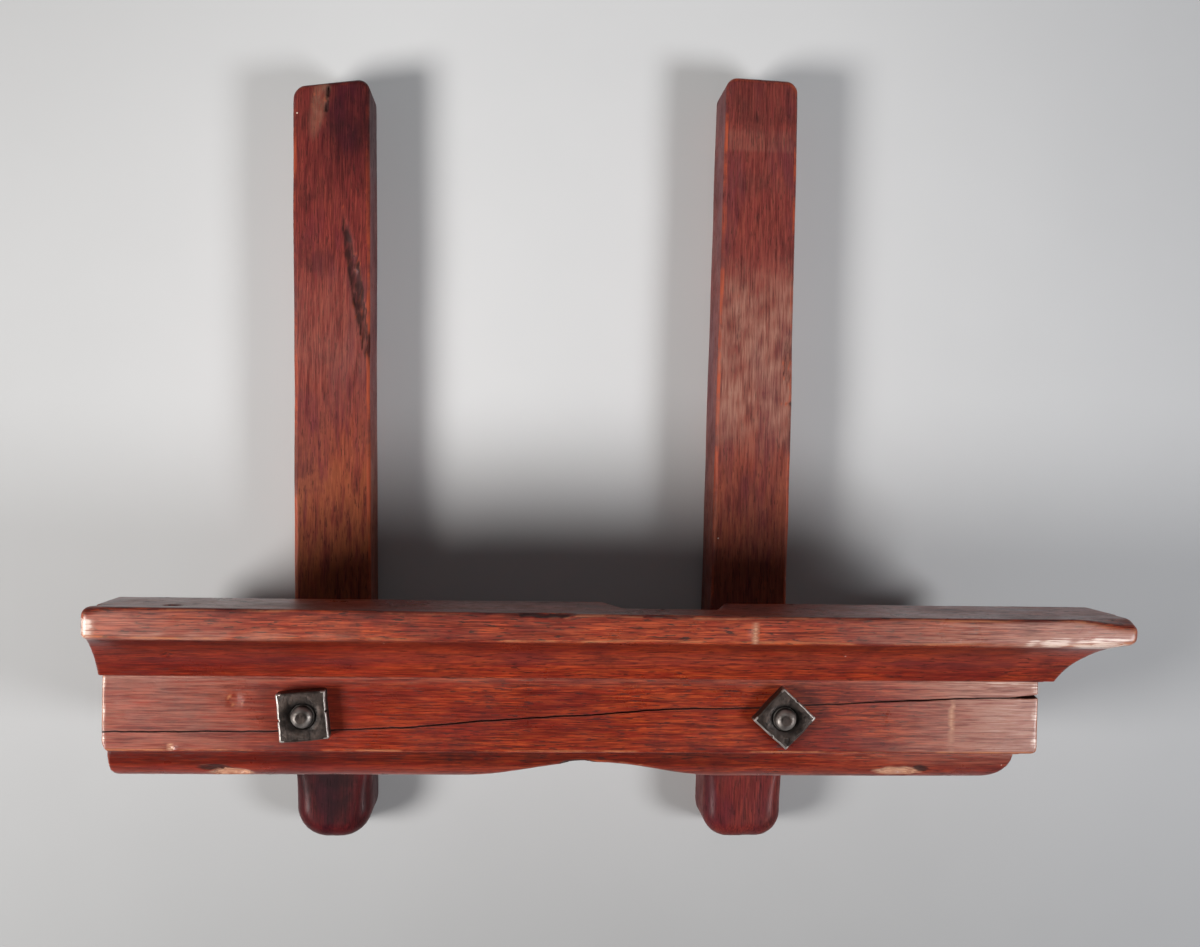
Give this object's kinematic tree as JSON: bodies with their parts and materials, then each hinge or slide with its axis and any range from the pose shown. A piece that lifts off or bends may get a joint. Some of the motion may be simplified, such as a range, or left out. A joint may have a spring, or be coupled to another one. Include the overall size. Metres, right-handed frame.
{
  "type": "plow plane fence",
  "caption": "Moulded hardwood plow plane fence carried on wooden arms, each clamped by a through bolt and a square nut.",
  "frame": {"origin": "middle of the assembly's box on the plane of the arms' backs, which it lies on", "axes": "+X along the fence toward its moulded end, +Y toward the arms' free ends, the way the bearing face looks, +Z from the arms up to the fence's moulded underside with the nuts"},
  "size_m": [0.254, 0.2232, 0.0887],
  "materials": {
    "fence_wood": "worn oiled mahogany-coloured hardwood, satin",
    "arm_wood": "dark wine-red hardwood, worn orange at the edges, satin",
    "iron": "dark aged wrought iron, dull"
  },
  "bodies": {
    "fence": {"fence": "fence_wood"},
    "arm_left": {"arm_left": "arm_wood"},
    "arm_right": {"arm_right": "arm_wood"},
    "bolt_left": {"bolt_left": "iron"},
    "bolt_right": {"bolt_right": "iron"},
    "nut_left": {"nut_left": "iron"},
    "nut_right": {"nut_right": "iron"}
  },
  "joints": [
    {"name": "arm_left_swivel", "type": "hinge", "parent": "fence", "child": "arm_left", "pos_m": [-0.0778, -0.0652, 0.01], "axis": [0, 0, 1], "range_deg": [-14, 90]},
    {"name": "arm_right_swivel", "type": "hinge", "parent": "fence", "child": "arm_right", "pos_m": [0.0427, -0.0652, 0.01], "axis": [0, 0, -1], "range_deg": [-14, 90]},
    {"name": "nut_left_turn", "type": "hinge", "parent": "fence", "child": "nut_left", "pos_m": [-0.0778, -0.0652, 0.073], "axis": [0, 0, 1], "range_deg": [0, 1475]},
    {"name": "nut_right_turn", "type": "hinge", "parent": "fence", "child": "nut_right", "pos_m": [0.0427, -0.0652, 0.073], "axis": [0, 0, 1], "range_deg": [0, 1475]},
    {"name": "bolt_left_travel", "type": "slide", "parent": "fence", "child": "bolt_left", "axis": [0, 0, -1], "range_m": [0, 0.0052]},
    {"name": "bolt_right_travel", "type": "slide", "parent": "fence", "child": "bolt_right", "axis": [0, 0, -1], "range_m": [0, 0.0052]}
  ],
  "couplings": [
    {"joint": "nut_left_turn", "follows": "bolt_left_travel", "rad_per_m": 4947.4},
    {"joint": "nut_right_turn", "follows": "bolt_right_travel", "rad_per_m": 4947.4}
  ]
}
